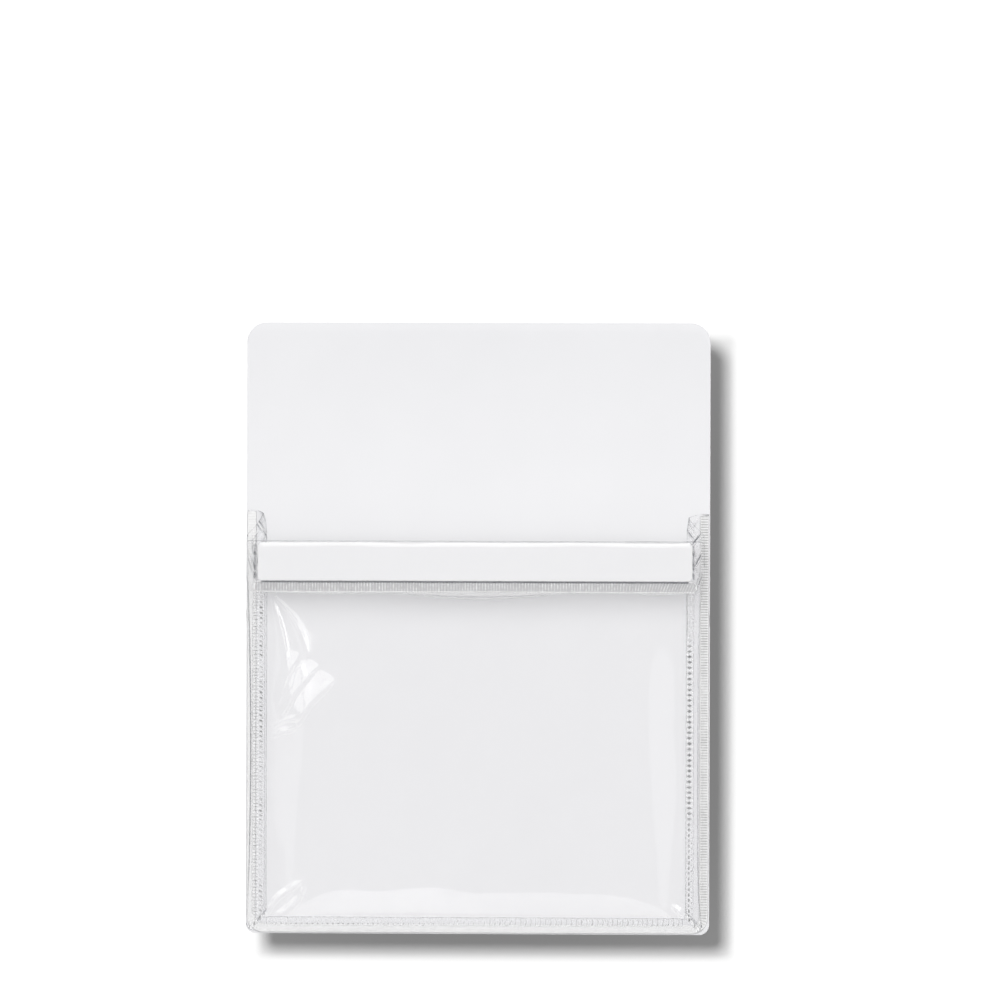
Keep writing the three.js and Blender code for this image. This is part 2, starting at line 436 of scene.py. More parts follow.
def ferriteRubber():
    # rolled magnet strip: faint lines along its length, and a dusting of grey
    material, tree = newMaterial("ferrite_rubber")
    lines = noise(tree, drawnPlace(tree, ferriteLook["drawn"]), ferriteLook["lineScale"])
    dust = noise(tree, objectPlace(tree), *ferriteLook["dust"])
    level = maths(tree, "MULTIPLY_ADD", lines, ferriteLook["lines"], dust)
    finishSolid(tree, ferriteLook, level, dust, lines)
    return material


tapeLook = {
    "shades": [(0.35, (0.66, 0.63, 0.52)), (0.6, (0.74, 0.71, 0.61))],
    "poreScale": 1900.0,
    "relief": (0.2, 0.0001),
    "rough": (0.45, 0.65),
}


def tapeFoam():
    # thin foam tape: pale, with pores along its edge
    material, tree = newMaterial("tape")
    pores = noise(tree, objectPlace(tree), tapeLook["poreScale"])
    finishSolid(tree, tapeLook, pores, pores, pores)
    return material


vinyl = whiteVinyl()
film = clearFilm("clear_film", filmLook["front"])
bellowsFilm = clearFilm("bellows_film", filmLook["side"])
bottomFilm = clearFilm("bottom_film", filmLook["bottom"])
# a painted highlight and a painted shade for the films' cut edges
paintedEdgeHighlight = filmEdge("painted_edge_highlight", (0.97, 0.972, 0.98), 0.75, 0.75)
paintedEdgeShade = filmEdge("painted_edge_shade", (0.42, 0.425, 0.44), 0.12, 0.5)
card = whiteCard()
ferrite = ferriteRubber()
foam = tapeFoam()
flangeWeld = pressedWeld("flange_weld", (0.46, 0.83, 0.97), (1.0, 1.0, 1.0))
hemWeld = pressedWeld("hem_weld", (0.36, 0.72, 1.0), (0.6, 0.34, 1.0))
barWeld = pressedWeld("bar_weld", (0.16, 0.94, 1.0), (0.85, 0.1, 0.9))
lowWeld = pressedWeld("low_weld", (0.3, 0.97, 1.0), (0.8, 0.06, 0.7))
print("materials made")


# Back panel

panelShape = {"topRadius": 10.0, "bottomRadius": 5.0, "edge": 0.18, "cols": 40, "rows": 60}


def makePanel():
    # a flat sheet with round corners
    x, z = roundedSheet(panelLow, panelHigh, panelShape["topRadius"], panelShape["bottomRadius"],
                        panelShape["cols"], panelShape["rows"])
    y = np.full_like(x, (panelLow[1] + panelHigh[1]) / 2)
    piece = sheetPiece("panel_sheet", x, y, z, panelHigh[1] - panelLow[1], [vinyl])
    roundEdges(piece, panelShape["edge"])
    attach(piece, "back")
    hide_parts("back_panel")


makePanel()
print("panel made")


# Magnet strips and their tape

stripShape = {"edge": 0.3, "corner": 0.8, "tapeCorner": 0.5, "tapeEdge": 0.04, "cols": 60, "rows": 12}


def makeStrip(place):
    # a flat strip whose edges are eased, and the thinner tape that holds it to the panel
    for kind, material, corner, bevel, slot in (
            ("magnet_strip", ferrite, stripShape["corner"], stripShape["edge"], "ferrite_rubber"),
            ("adhesive_tape", foam, stripShape["tapeCorner"], stripShape["tapeEdge"], "tape")):
        low, high = nodeBox(f"{kind}_{place}")
        x, z = roundedSheet(low, high, corner, corner, stripShape["cols"], stripShape["rows"])
        y = np.full_like(x, (low[1] + high[1]) / 2)
        piece = sheetPiece(f"{kind}_{place}_dressed", x, y, z, high[1] - low[1], [material])
        roundEdges(piece, bevel)
        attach(piece, "back")
        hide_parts(f"{kind}_{place}")


for stripPlace in ("top", "middle", "bottom"):
    makeStrip(stripPlace)
print("magnet strips made")


# Bellows

def bellowsLine(band, reach):
    # flange, back leg, front leg and front band as inset from the panel's edge and depth from its face
    half = bellows["film"] / 2
    flangeEnd = bellows["flangeInset"] + bellows["flangeWidth"]
    corners = [
        (bellows["flangeInset"], half),
        (flangeEnd, half),
        (flangeEnd + reach, bellows["depth"] / 2),
        (bellows["bendInset"], bellows["depth"] - half),
        (bellows["bendInset"] + band, bellows["depth"] - half),
    ]
    crease, bend = bellows["creaseEasing"], bellows["bendEasing"]
    line, along = easedLine(corners, [(crease, crease), (crease, crease), (bend, bend)], bellows["points"])
    tangent = np.gradient(line, along, axis=0)
    normal = np.stack([-tangent[:, 1], tangent[:, 0]], axis=1)
    return line[:, 0], line[:, 1], along, normal


def atBend(inset, depth, start, full, reach):
    # a share of 1 at the outer bend: it grows with depth from start to full, and is lost at the inset reach
    return smoothStep(depth, start, full) * np.clip((reach - inset) / reach, 0, 1)


def cornerCut(inset):
    # how far the round lower corner keeps the film from the panel's other edge, at this inset
    radius = bellows["cornerRadius"] - bellows["flangeInset"]
    off = np.clip(bellows["cornerRadius"] - inset, -radius, radius)
    arc = bellows["cornerRadius"] - np.sqrt(np.clip(radius ** 2 - off ** 2, 0, None))
    mitre = inset + bellows["seam"]
    return np.where(inset < bellows["cornerRadius"], np.maximum(arc, mitre), mitre)


sideShape = {
    "rowsBelow": 70,
    "rowsAbove": 90,
    "creasedReach": 60.0,  # the creased part, down from the top
    "backRise": 14.5,  # top of the bellows above the mouth, at the panel
    "creaseRise": 12.5,
    "frontRise": 1.5,
    "bow": {-1: (2.3, 2), 1: (3.4, 6)},  # how far the outer bend draws in, and its power of height
    "bowTop": 26.0,  # height where that ends
    "drawn": (5.0, 10.0, 8.5),  # depths over which this sets in, and the inset at which it ends
    "spread": {-1: 1.3, 1: 0.3},  # how far it stands out beside the label
    "beside": (34.0, 9.0),  # middle and half length of that
    # painted dark line along the bend, a painted shade: strength, middle and half length
    "bendLine": {-1: (0.85, -55.0, 75.0), 1: (0.4, -100.0, 60.0)},
    "bendLineWidth": 0.6,
    "lift": {-1: 0.9, 1: -0.6},  # the two sides don't end quite level
    "lifted": (6.0, 11.0),  # depths over which that is lost
    "pinch": {-1: 2.0, 1: 1.0},  # how far the inner crease draws out at its top
    "pinched": (5.0, 6.0, 4.5),  # inset where that starts, how soon it is full, how far down it goes
    "creased": (5.0, 6.5, 20.5, 22.5),  # where along the section the creases set in and end
    "sharpest": 1.6,  # turn at which a crease's painted mark is full
    # creases as place along the section and above the mouth, size, turn and height
    "creases": {
        -1: [
            ((8.0, 9.5), (3.2, 0.55), 40, 0.34), ((9.5, 5.0), (3.6, 0.6), -52, -0.36),
            ((11.6, 1.5), (3.0, 0.5), 60, 0.3), ((16.5, 8.0), (3.4, 0.6), 55, 0.4),
            ((18.5, 3.0), (3.6, 0.55), -48, -0.38), ((19.5, -3.0), (5.0, 0.6), 82, 0.34),
            ((17.4, -8.0), (6.0, 0.55), -84, -0.34), ((20.5, -12.0), (5.0, 0.5), 76, 0.3),
            ((18.8, -18.0), (6.0, 0.6), -80, 0.3), ((9.0, -6.0), (5.0, 0.6), 80, 0.26),
        ],
        1: [
            ((8.5, 8.5), (3.4, 0.55), -46, 0.36), ((10.4, 3.5), (3.4, 0.6), 44, -0.34),
            ((12.0, 9.0), (2.4, 0.45), 70, 0.26), ((16.0, 5.5), (3.8, 0.6), -50, 0.42),
            ((18.6, 1.0), (3.2, 0.55), 46, -0.38), ((17.0, -5.0), (4.0, 0.55), -66, 0.36),
            ((20.0, -9.0), (3.6, 0.5), 58, -0.34), ((18.0, -14.0), (4.4, 0.55), -62, 0.34),
            ((20.6, -19.0), (5.0, 0.5), 74, 0.3), ((9.4, -8.0), (5.0, 0.6), -78, 0.26),
        ],
    },
}


def makeSideFilm(name, side):
    # the section is carried from the mitre up to the sloping top; the outer bend draws in by 1 minus an even
    # power of height, and the creases push the film along its own normal. How sharply they turn it is kept
    # as a mark that paints shade in hollow creases and whitens raised ones, with a painted dark line along
    # the bend
    inset, depth, along, normal = bellowsLine(bellows["sideBand"], bellows["creaseReach"])
    share = depth / (bellows["depth"] / 2) - 1
    farRise = np.where(share < 0, sideShape["backRise"], sideShape["frontRise"])
    top = mouth + sideShape["creaseRise"] + np.abs(share) * (farRise - sideShape["creaseRise"])
    top = top + sideShape["lift"][side] * (1 - smoothStep(depth, *sideShape["lifted"]))
    bottom = panelBottom + cornerCut(inset)
    turn = top - sideShape["creasedReach"]
    low = np.linspace(0, 1, sideShape["rowsBelow"], endpoint=False)[:, None]
    high = np.linspace(0, 1, sideShape["rowsAbove"])[:, None]
    z = np.concatenate([bottom + low * (turn - bottom), turn + high * (top - turn)])
    level = np.clip(2 * (z - panelBottom) / (sideShape["bowTop"] - panelBottom) - 1, -1, 1)
    bow, power = sideShape["bow"][side]
    pull = bow * (1 - level ** power) - sideShape["spread"][side] * bell(z, *sideShape["beside"], 4)
    pull = pull * atBend(inset, depth, *sideShape["drawn"])
    start, length, fade = sideShape["pinched"]
    folded = np.clip(1 - np.abs(share), 0, 1) * np.clip((inset - start) / length, 0, 1)
    pinch = sideShape["pinch"][side] * folded * np.exp(-(top - z) / fade)
    push = sum(buckle(along[None, :], z - mouth, *c) for c in sideShape["creases"][side])
    push = push * between(along, *sideShape["creased"])
    slope = np.gradient(np.gradient(push, along, axis=1), along, axis=1)
    rise = np.gradient(z, axis=0)
    slope = slope + np.gradient(np.gradient(push, axis=0) / rise, axis=0) / rise
    strong, middle, half = sideShape["bendLine"][side]
    bend = along[np.argmin(np.where(depth > bellows["depth"] / 2, inset, np.inf))]
    line = strong * bell(along, bend, sideShape["bendLineWidth"]) * bell(z, middle, half, 4)
    # the mark paints shade in hollow creases and along the bend, and whitens raised creases
    crease = np.clip(-slope / sideShape["sharpest"] - line, -1, 1)
    x = side * (halfPanel - inset - pull + pinch - push * normal[:, 0])
    y = panelFace - depth - push * normal[:, 1]
    piece = sheetPiece(f"{name}_film", x, y, z, bellows["film"], [bellowsFilm, paintedEdgeShade], side < 0,
                       (along, z), {"crease": crease})
    piece.visible_shadow = False
    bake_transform(piece)
    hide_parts(name)


bottomShape = {
    "cols": 240, "droop": 0.6, "wave": 0.12, "waveLengths": (9.0, 31.0),
    "drooped": (6.0, 11.0, 5.0),  # depths over which the droop sets in, and the inset at which it ends
    "waved": (3.0, 8.0),  # depths over which the waves set in
}


def makeBottomFilm():
    # the section is carried across from mitre to mitre; its outer bend droops by 1 minus the fourth power of
    # the share of the half width, and two sines make slight waves
    inset, depth, along, normal = bellowsLine(bellows["bottomBand"], bellows["bottomReach"])
    end = halfPanel - cornerCut(inset)
    u = np.linspace(-1, 1, bottomShape["cols"])[:, None]
    x = u * end
    sag = bottomShape["droop"] * (1 - u ** 4) * atBend(inset, depth, *bottomShape["drooped"])
    short, slow = bottomShape["waveLengths"]
    ripple = bottomShape["wave"] * np.sin(x / short) * np.sin(x / slow + 1)
    ripple = ripple * smoothStep(depth, *bottomShape["waved"])
    z = panelBottom + inset - sag + ripple * normal[:, 0]
    y = np.broadcast_to(panelFace - depth, x.shape) - ripple * normal[:, 1]
    materials = [bottomFilm, paintedEdgeShade]
    piece = sheetPiece("bottom_gusset_film", x, y, z, bellows["film"], materials, flatMap=(x, along))
    piece.visible_shadow = False
    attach(piece, "back")
    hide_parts("bottom_gusset")


makeSideFilm("left_gusset", -1)
makeSideFilm("right_gusset", 1)
makeBottomFilm()
print("bellows made")


# Front film and its label sleeve

frontShape = {
    # columns across, in shares of half the width, and rows up to each height: finer where there are folds
    "cols": [(-1.0, -0.58, 86), (-0.58, 0.82, 40), (0.82, 1.0, 34)],
    "rows": [(-124.0, 44), (-58.0, 24), (None, 152)],
    "sleevePoints": [6, 2, 6, 4, 6, 12, 4, 3, 4, 6, 1, 8],  # on the bends and legs from the mouth on
    "easings": [
        (0.5, 0.5), (0.5, 0.5), (0.7, 0.6), (0.6, 0.6), (0.9, 0.9), (0.5, 0.5), (0.5, 0.5), (0.1, 0.1)],
    "sleeveFrom": (0.1, 0.3),  # in front of the film
    "cornerRadius": 6.5,  # lower corners
    "shoulder": 23.6,  # foot of the sleeve
    "hemTop": 22.4,
    "hemFoot": 18.1,  # lower edge of the weld
    "facet": (0.32, 2.3),  # the sleeve leans back this far over this height, under the mouth
    "upright": (106.5, 110.5),  # where that stops, towards its ends
    "sleeveWave": (0.1, 40.5, 2.2),  # height, middle and half width
    "pillow": 1.2,  # how far the film stands out between its welds
    "weldInside": 106.2,  # inner edge of the side welds
    "weldAbove": -145.4,  # upper edge of the bottom weld
    "sideReach": (15.0, 9.0, -40.0, 60.0),  # how far in it rises: least, more, where, half length
    # how far up it rises steeply from the bottom weld: an arch, and humps on it as place, width and height
    "footArch": (11.5, 2.0, 100.0),
    "footHumps": [(-65.0, 14.0, 3.0), (-24.0, 15.0, 3.8)],
    "footLeast": 1.5,
    "footFull": 14.0,
    "footSpread": 1.35,
    "slowReach": (80.0, 45.0),  # how far it rises gently, up from the bottom weld and down from the hem
    # folds as start, end, widths above and below, height, sideways bend, where along it is highest and
    # whether it is a tent
    "folds": [
        ((-103.5, 17.0), (-94.5, -42.0), (2.6, 2.0), 0.75, 3.0, 0.8, False),
        ((-103.0, 17.0), (-84.0, -22.0), (1.7, 1.6), 0.6, 5.0, 0.8, False),
        ((-100.5, -41.0), (-89.0, -12.0), (5.5, 1.2), 0.55, 0.5, 1.0, True),
        ((-98.5, -46.5), (-79.0, -18.0), (7.5, 1.3), 0.85, 1.0, 1.0, True),
        ((-91.5, -51.5), (-70.0, -25.0), (9.0, 1.6), 0.95, 1.5, 1.0, True),
        ((-103.0, -50.5), (-88.0, -45.0), (2.6, 1.0), 0.24, 0.8, 1.0, True),
        ((-103.5, -55.5), (-89.0, -50.8), (3.0, 1.0), 0.3, 0.5, 1.0, True),
        ((-108.0, -148.5), (-84.5, -126.5), (2.9, 1.0), 0.41, 2.8, 1.0, True),
        ((-106.0, -148.5), (-84.5, -127.0), (3.8, 1.0), 0.52, -4.2, 1.0, True),
        ((99.5, -138.0), (107.5, -148.0), (3.0, 0.9), 0.36, 0.0, 1.0, True),
    ],
    "foldFade": (-0.5, 2.0, 3.0),  # from and to, inside the welds, and how far below the hem
    "bulge": ((-88.0, -44.0), (12.0, 24.0), 0, 0.6),  # where the folds meet: middle, size, turn, height
    "bulgeFade": 25.0,  # below the hem
    # free film below the weld as place across, half length and drop
    "flaps": [(2.0, 44.0, 3.0), (92.0, 12.0, 1.0), (-75.0, 20.0, 0.5)],
    "flapLeast": 0.35,
    "flapPower": 1.3,
    "flapOut": 0.08,  # how far it stands off for each millimetre
    # painted shadow line at the foot of the sleeve: strength, height, half width, end and how soft that is
    "footLine": (0.75, 23.4, 0.43, 108.3, 0.7),
    "endLines": [(-111.6, 0.6), (110.75, 0.45)],  # broken painted shade lines beside the label: place and half width
    "endDark": 0.85,
    "endReach": (24.5, 26.0, 41.0, 42.5),  # heights where they set in and end
    "rawPale": (0.7, 0.84, 0.96),  # painted highlight on the free film's edge: strength, and the share of its drop where it sets in
    # painted shade above the free film's edge: strength, middle and half width
    "rawShade": (0.4, 0.7, 0.12),
}
tentFold = {"waver": 0.3, "turns": 11, "narrow": 0.75, "crest": 1.05, "blunt": 0.0025, "ends": 0.25}
bellFold = {"narrow": 0.3, "blunt": 0.03, "point": 0.7, "rise": 1.4}


def fold(x, z, start, end, widths, height, bend, swell, isTent):
    # a ridge from start to end, wider towards its end: a tent across that keeps its height along and wavers
    # by a sine, or a pointed bell across that rises and falls along by a sine
    reach = math.hypot(end[0] - start[0], end[1] - start[1])
    c, s = (end[0] - start[0]) / reach, (end[1] - start[1]) / reach
    t = np.clip(((x - start[0]) * c + (z - start[1]) * s) / reach, 0, 1)
    across = (z - start[1]) * c - (x - start[0]) * s - bend * np.sin(math.pi * t)
    shape = tentFold if isTent else bellFold
    if isTent:
        across = across + shape["waver"] * np.sin(shape["turns"] * t)
    spread = np.where(across > 0, *widths) * (shape["narrow"] + (1 - shape["narrow"]) * t)
    if isTent:
        tent = np.clip(shape["crest"] - np.sqrt((across / spread) ** 2 + shape["blunt"]), 0, None)
        return height * between(t, 0, shape["ends"], 1 - shape["ends"], 1) * tent
    ridge = np.exp(-((across / spread) ** 2 + shape["blunt"]) ** shape["point"])
    return height * np.clip(np.sin(math.pi * t ** swell), 0, 1) ** shape["rise"] * ridge


def frontSection():
    # up the film, over the mouth, down the sleeve and past the hem, with 1 of free film: depth and height of
    # the section's points, how far along they are, and a share that is 1 on the sleeve
    half = bellows["film"] / 2
    back, front, top = filmHigh[1] - half, filmLow[1] + half, mouth - half
    hem, foot = back - bellows["film"], frontShape["hemFoot"]
    lean, facet = frontShape["facet"]
    (lowStop, lowRows), (midStop, midRows), (_, highRows) = frontShape["rows"]
    corners = [
        (back, filmLow[2]), (back, lowStop), (back, midStop), (back, top), (front + lean, top),
        (front, top - facet), (front, frontShape["shoulder"]), (hem, frontShape["hemTop"]), (hem, foot),
        (hem, foot - 1),
    ]
    counts = [lowRows, 1, midRows, 1, highRows, *frontShape["sleevePoints"]]
    line, along = easedLine(corners, frontShape["easings"], counts)
    y, z = line[:, :1], line[:, 1:]
    overMouth = np.arange(len(y)) > lowRows + midRows + highRows + 2
    start, full = frontShape["sleeveFrom"]
    onSleeve = np.clip(smoothStep(-y, -back + start, -back + full) + overMouth[:, None], 0, 1)
    return y, z, along, onSleeve


def frontSwell(x, z):
    # how far the film stands out: a shallow pillow that rises from its welds by smooth steps, with 1 minus a
    # square for the steep part above the bottom one; then folds, and a bell where they meet
    fromSide = frontShape["weldInside"] - np.abs(x)
    fromFoot = z - frontShape["weldAbove"]
    fromHem = frontShape["hemFoot"] - z
    least, more, middle, half = frontShape["sideReach"]
    inside = smoothStep(fromSide, 0, least + more * bell(z, middle, half))
    arch, middle, half = frontShape["footArch"]
    steep = arch * (1 - ((x - middle) / half) ** 6)
    steep = steep + sum(high * bell(x, at, size) for at, size, high in frontShape["footHumps"])
    steep = np.clip(steep, frontShape["footLeast"], None)
    share = steep / frontShape["footFull"]
    up, down = frontShape["slowReach"]
    quick = 1 - (1 - np.clip(fromFoot / (frontShape["footSpread"] * steep), 0, 1)) ** 2
    above = share * quick + (1 - share) * smoothStep(fromFoot, 0, up)
    out = frontShape["pillow"] * inside * above * smoothStep(fromHem, 0, down)
    start, full, below = frontShape["foldFade"]
    near = smoothStep(fromSide, start, full) * smoothStep(fromHem, 0, below)
    near = near * smoothStep(fromFoot, start, full)
    out = out + sum(fold(x, z, *f) for f in frontShape["folds"]) * near
    bulge = buckle(x, z, *frontShape["bulge"])
    return out + bulge * inside * above * smoothStep(fromHem, 0, frontShape["bulgeFade"])


def frontPaintedLight(x, z, onSleeve, past, flap):
    # marks for the material: a painted shadow line along the foot of the sleeve, painted shade lines beside
    # the label that two sines break, and on the free film a painted highlight at its edge with painted shade
    # above it
    dark, at, size, end, soft = frontShape["footLine"]
    crease = -dark * bell(z, at, size, 4) * onSleeve * (1 - smoothStep(np.abs(x), end - soft, end + soft))
    beside = onSleeve * between(z, *frontShape["endReach"])
    broken = np.clip(0.7 + 0.5 * np.sin(1.9 * z) * np.sin(0.7 * z + 0.5), 0, 1)
    endLines = sum(bell(x, at, size, 4) for at, size in frontShape["endLines"])
    crease = crease - frontShape["endDark"] * beside * broken * endLines
    hangs = np.clip(flap - frontShape["flapLeast"], 0, 1)
    pale, start, full = frontShape["rawPale"]
    shade, at, size = frontShape["rawShade"]
    return crease + hangs * (pale * smoothStep(past, start, full) - shade * bell(past, at, size))


def makeFrontFilm():
    # the section is carried across, out to a quarter circle at the lower corners; the film stands out
    # between its welds, the sleeve waves by two sines, and the free film hangs by uneven lengths
    y, z, along, onSleeve = frontSection()
    u = np.concatenate([np.linspace(a, b, n, endpoint=b == 1) for a, b, n in frontShape["cols"]])
    radius = frontShape["cornerRadius"]
    into = np.clip(filmLow[2] + radius - z, 0, radius)
    x = u * (filmHigh[0] - radius + np.sqrt(radius ** 2 - into ** 2))
    half = bellows["film"] / 2
    lean, facet = frontShape["facet"]
    upright = np.clip((z - (mouth - half - facet)) / facet, 0, 1) * lean
    upright = upright * smoothStep(np.abs(x), *frontShape["upright"]) * (y < filmHigh[1] - half - 1)
    height, middle, width = frontShape["sleeveWave"]
    wave = height * np.sin(x / 13.0 + 0.7) * np.sin(x / 37.0) * bell(z, middle, width)
    flap = frontShape["flapLeast"] + sum(
        drop * np.clip(1 - ((x - at) / size) ** 2, 0, None) ** frontShape["flapPower"]
        for at, size, drop in frontShape["flaps"])
    past = np.clip(frontShape["hemFoot"] - z, 0, 1) * onSleeve
    # the mark carries painted shade and painted highlights for the film's material
    crease = frontPaintedLight(x, z, onSleeve, past, flap)
    y = y - frontSwell(x, z) * (1 - onSleeve) - (wave + upright) * onSleeve
    y = y - frontShape["flapOut"] * past * flap
    z = np.broadcast_to(z, x.shape) - past * (flap - 1)
    piece = sheetPiece("front_film", x, y, z, bellows["film"], [film, paintedEdgeHighlight], False, (x, along[:, None]),
                       {"crease": crease})
    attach(piece, "front")
    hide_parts("front_panel")


makeFrontFilm()
print("front film made")


# Welds: ribbed bars pressed into the films

barShape = {"raggedWaves": (2.1, 0.37), "edgeFall": 0.15, "edgePower": 12}


def ribbedBar(name, body, material, run, pattern):
    # a flat bar with a ribbed face that looks forward: its section is a closed loop of width and thickness
    # carried along a run; the face rises by the pattern's height, which depends on how far along and across
    # it is, and the ends narrow by a quarter circle where they are round. run gives the distance along, the
    # points of the bar's middle and the way its width lies; the sides and the underside are clear film
    u, middle, across = run
    out = np.array([0.0, -1.0, 0.0])
    cells = pattern["cells"]
    v = np.concatenate([np.linspace(-1, 1, cells), [1, -1]])
    isFace = np.concatenate([np.ones(cells), [0, 0]])
    quick, slow = barShape["raggedWaves"]
    wide = pattern["width"] / 2 * (1 + pattern["ragged"] * np.sin(u * quick) * np.sin(u * slow))
    fromEnd = np.clip(np.minimum(u, u[-1] - u) / pattern["width"] * 2, 0, 1)
    wide = wide * np.sqrt(1 - pattern["round"] * (1 - fromEnd) ** 2)
    ribs, *given = pattern["rib"]
    rib = np.clip(ribs(u[:, None], v[None, :], *given), 0, 1)
    edgeFall = 1 - barShape["edgeFall"] * np.abs(v) ** barShape["edgePower"]
    lift = isFace * (pattern["thick"] * edgeFall + pattern["height"] * rib * edgeFall)
    sideways = across.reshape(-1, 1, 3) * (wide[:, None] * v)[..., None]
    points = middle[:, None, :] + sideways + out * lift[..., None]
    rows, cols = points.shape[:2]
    faces = gridQuads(rows, cols, closed=True).tolist()
    faces += [list(range(cols))[::-1], list(range((rows - 1) * cols, rows * cols))]
    marks = {"rib": np.broadcast_to(rib, (rows, cols))}
    piece = placeMesh(name, points.reshape(-1, 3), faces, marks=marks)
    isUnder = np.concatenate([np.tile(np.arange(cols) >= cells - 1, rows - 1), [True, True]])
    piece.data.polygons.foreach_set("material_index", isUnder.astype(np.int32))
    piece.data.polygons.foreach_set("use_smooth", ~isUnder)
    if np.dot(np.cross(points[1, 1] - points[0, 1], points[0, 2] - points[0, 1]), out) > 0:
        piece.data.flip_normals()
    piece.data.materials.append(material)
    piece.data.materials.append(bellowsFilm)
    piece.visible_shadow = pattern["shadow"]
    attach(piece, body)


def drift(u, seed):
    # a slow wander between about -1 and 1 made of three sines that never fall in step
    return (np.sin(u / 2.9 + seed) + np.sin(u / 7.3 + 2.1 * seed) + np.sin(u / 19.0 + 0.7 * seed)) / 2.2


def mark(phase, width):
    # a bell in the middle of each turn of the phase
    return bell((phase + 0.5) % 1, 0.5, width)


# Places along each weld where its pattern changes: the flange's from the top of its left edge, the hem's and
# the bottom's from their left end, the right side's from its foot

flangeMarks = {"leftTop": (14, 24), "bottom": (198, 212), "right": (428, 442), "rightTop": (560, 620)}
hemMarks = {"lean": (175, 224), "middle": 112, "strong": (50, 105)}
rightMarks = {"low": (38, 56), "high": (132, 144)}
bottomMarks = {"hooks": (20, 190), "dots": (20, 110)}


# in these patterns a low rib is a groove that the weld paints dark, a painted shade, and a high one a crest
# or outline that it paints pale, a painted highlight
def ladder(u, v, pitch, seed):
    # thin grooves across the bar, their spacing wandering a little, with pale ends; plain along the bottom,
    # faint on the left and clear over a darker body on the right, a painted light that falls from the left
    groove = mark(u / pitch + 0.12 * drift(u, seed), 0.2) * (1 - np.abs(v) ** 10)
    pale = smoothStep(np.abs(v), 0.76, 0.92)
    # painted light from the left: faint grooves there, clear ones over a darker body on the right
    right = smoothStep(u, *flangeMarks["right"])
    clear = 0.3 + 0.4 * (1 - smoothStep(u, *flangeMarks["leftTop"]))
    clear = clear - 0.22 * smoothStep(u, *flangeMarks["bottom"]) + 1.06 * right
    clear = clear + 0.5 * smoothStep(u, *flangeMarks["rightTop"])
    body = 0.74 - 0.24 * right
    return body - clear * (0.36 + 0.12 * drift(u, seed + 1)) * groove + (1 - body) * pale


def hemRibs(u, v, pitch):
    # thin dark ribs across the bar that lean over towards its right end, inside a pale outline
    phase = u / pitch + 0.2 * drift(u, 1.0) - 0.9 * smoothStep(u, *hemMarks["lean"]) * v
    fromMiddle = np.abs(u - hemMarks["middle"])
    strong = 0.28 + 0.14 * smoothStep(fromMiddle, *hemMarks["strong"]) + 0.06 * drift(u, 4.0)
    ridge = 0.08 * mark(phase + 0.5, 0.16)
    fromEnd = np.minimum(u, 2 * weldPlace["hemEnd"] - u)
    pale = np.maximum(smoothStep(np.abs(v), 0.76, 0.9), 1 - smoothStep(fromEnd, 0.3, 0.9))
    return 0.54 + (ridge - strong * mark(phase, 0.24)) * (1 - pale) + 0.46 * pale


def dashes(u, v, pitch, seed):
    # two columns with pale beads between them: thin rungs on the outer one, wandering dark commas on the
    # inner one
    phase = u / pitch + 0.15 * drift(u, seed)
    rung = mark(phase, 0.13) * bell(v, -0.5, 0.38, 6)
    bead = mark(phase + 0.5, 0.2) * bell(v, -0.06, 0.12)
    turn = 0.7 * phase + 0.4 * (v - 0.4) + 0.3 * drift(u * 1.3, seed + 1)
    comma = mark(turn, 0.21) * bell(v, 0.42, 0.28, 4)
    fleck = mark(turn + 0.45, 0.1) * bell(v, 0.66, 0.12)
    some = np.clip(0.75 + 0.4 * drift(u * 0.9, seed + 2), 0.25, 1)
    return 0.5 - 0.38 * rung - some * (0.5 * comma + 0.45 * fleck) + 0.42 * bead


def chain(u, v, pitch, seed):
    # dark diamonds up the middle; towards the foot they part into dashes and dots, and near the top there is
    # a mesh beside a dark line
    phase = u / pitch + 0.1 * drift(u, seed)
    turn = np.abs((phase + 0.5) % 1 - 0.5)
    low, high = 1 - smoothStep(u, *rightMarks["low"]), smoothStep(u, *rightMarks["high"])
    diamond = 1 - smoothStep(turn / 0.42 + np.abs(v + 0.05) / 0.9, 0.6, 1.0)
    dash = (1 - smoothStep(turn, 0.26, 0.36)) * bell(v, -0.1, 0.28)
    dot = mark(phase + 0.5, 0.17) * bell(v, 0.6, 0.18)
    mesh = np.clip(np.sin(u * 4.7 + 5 * v) * np.sin(u * 4.7 - 5 * v), 0, 1) * (np.abs(v - 0.15) < 0.6)
    line = bell(v, -0.62, 0.13)
    bead = mark(phase + 0.5, 0.2) * bell(np.abs(v), 0.72, 0.18)
    middle = (1 - low) * (1 - high)
    return (0.56 - middle * (0.5 * diamond - 0.3 * bead) - low * (0.5 * dash + 0.5 * dot)
            - high * (0.5 * mesh + 0.45 * line))


def lowRibs(u, v, pitch):
    # hooked ribs that grow towards the right, a row of dots that fades out from the left, and a thin dark
    # line along the upper edge
    phase = u / pitch + 0.15 * drift(u, 3.0)
    hook = mark(phase + 0.28 * v * v, 0.13) * (np.abs(v + 0.1) < 0.72)
    dot = mark(phase, 0.2) * bell(v, -0.58, 0.2)
    line = smoothStep(v, 0.8, 0.9)
    grow = 0.44 * smoothStep(u, *bottomMarks["hooks"])
    fade = 0.58 * (1 - 0.85 * smoothStep(u, *bottomMarks["dots"]))
    return 0.58 - grow * hook - fade * dot - 0.38 * line


def strokes(u, v, pitch, seed):
    # a few dark and pale strokes that cross the bar aslant
    phase = u / pitch + 0.3 * v + 0.2 * drift(u, seed)
    dark = mark(phase, 0.16) * bell(v, 0.3 * drift(u, seed + 1), 0.6, 4)
    pale = mark(phase + 0.4, 0.14) * bell(v, -0.2, 0.6, 4)
    return 0.5 - 0.45 * dark + 0.4 * pale


rightwards = np.array([1.0, 0.0, 0.0])
upwards = np.array([0.0, 0.0, 1.0])

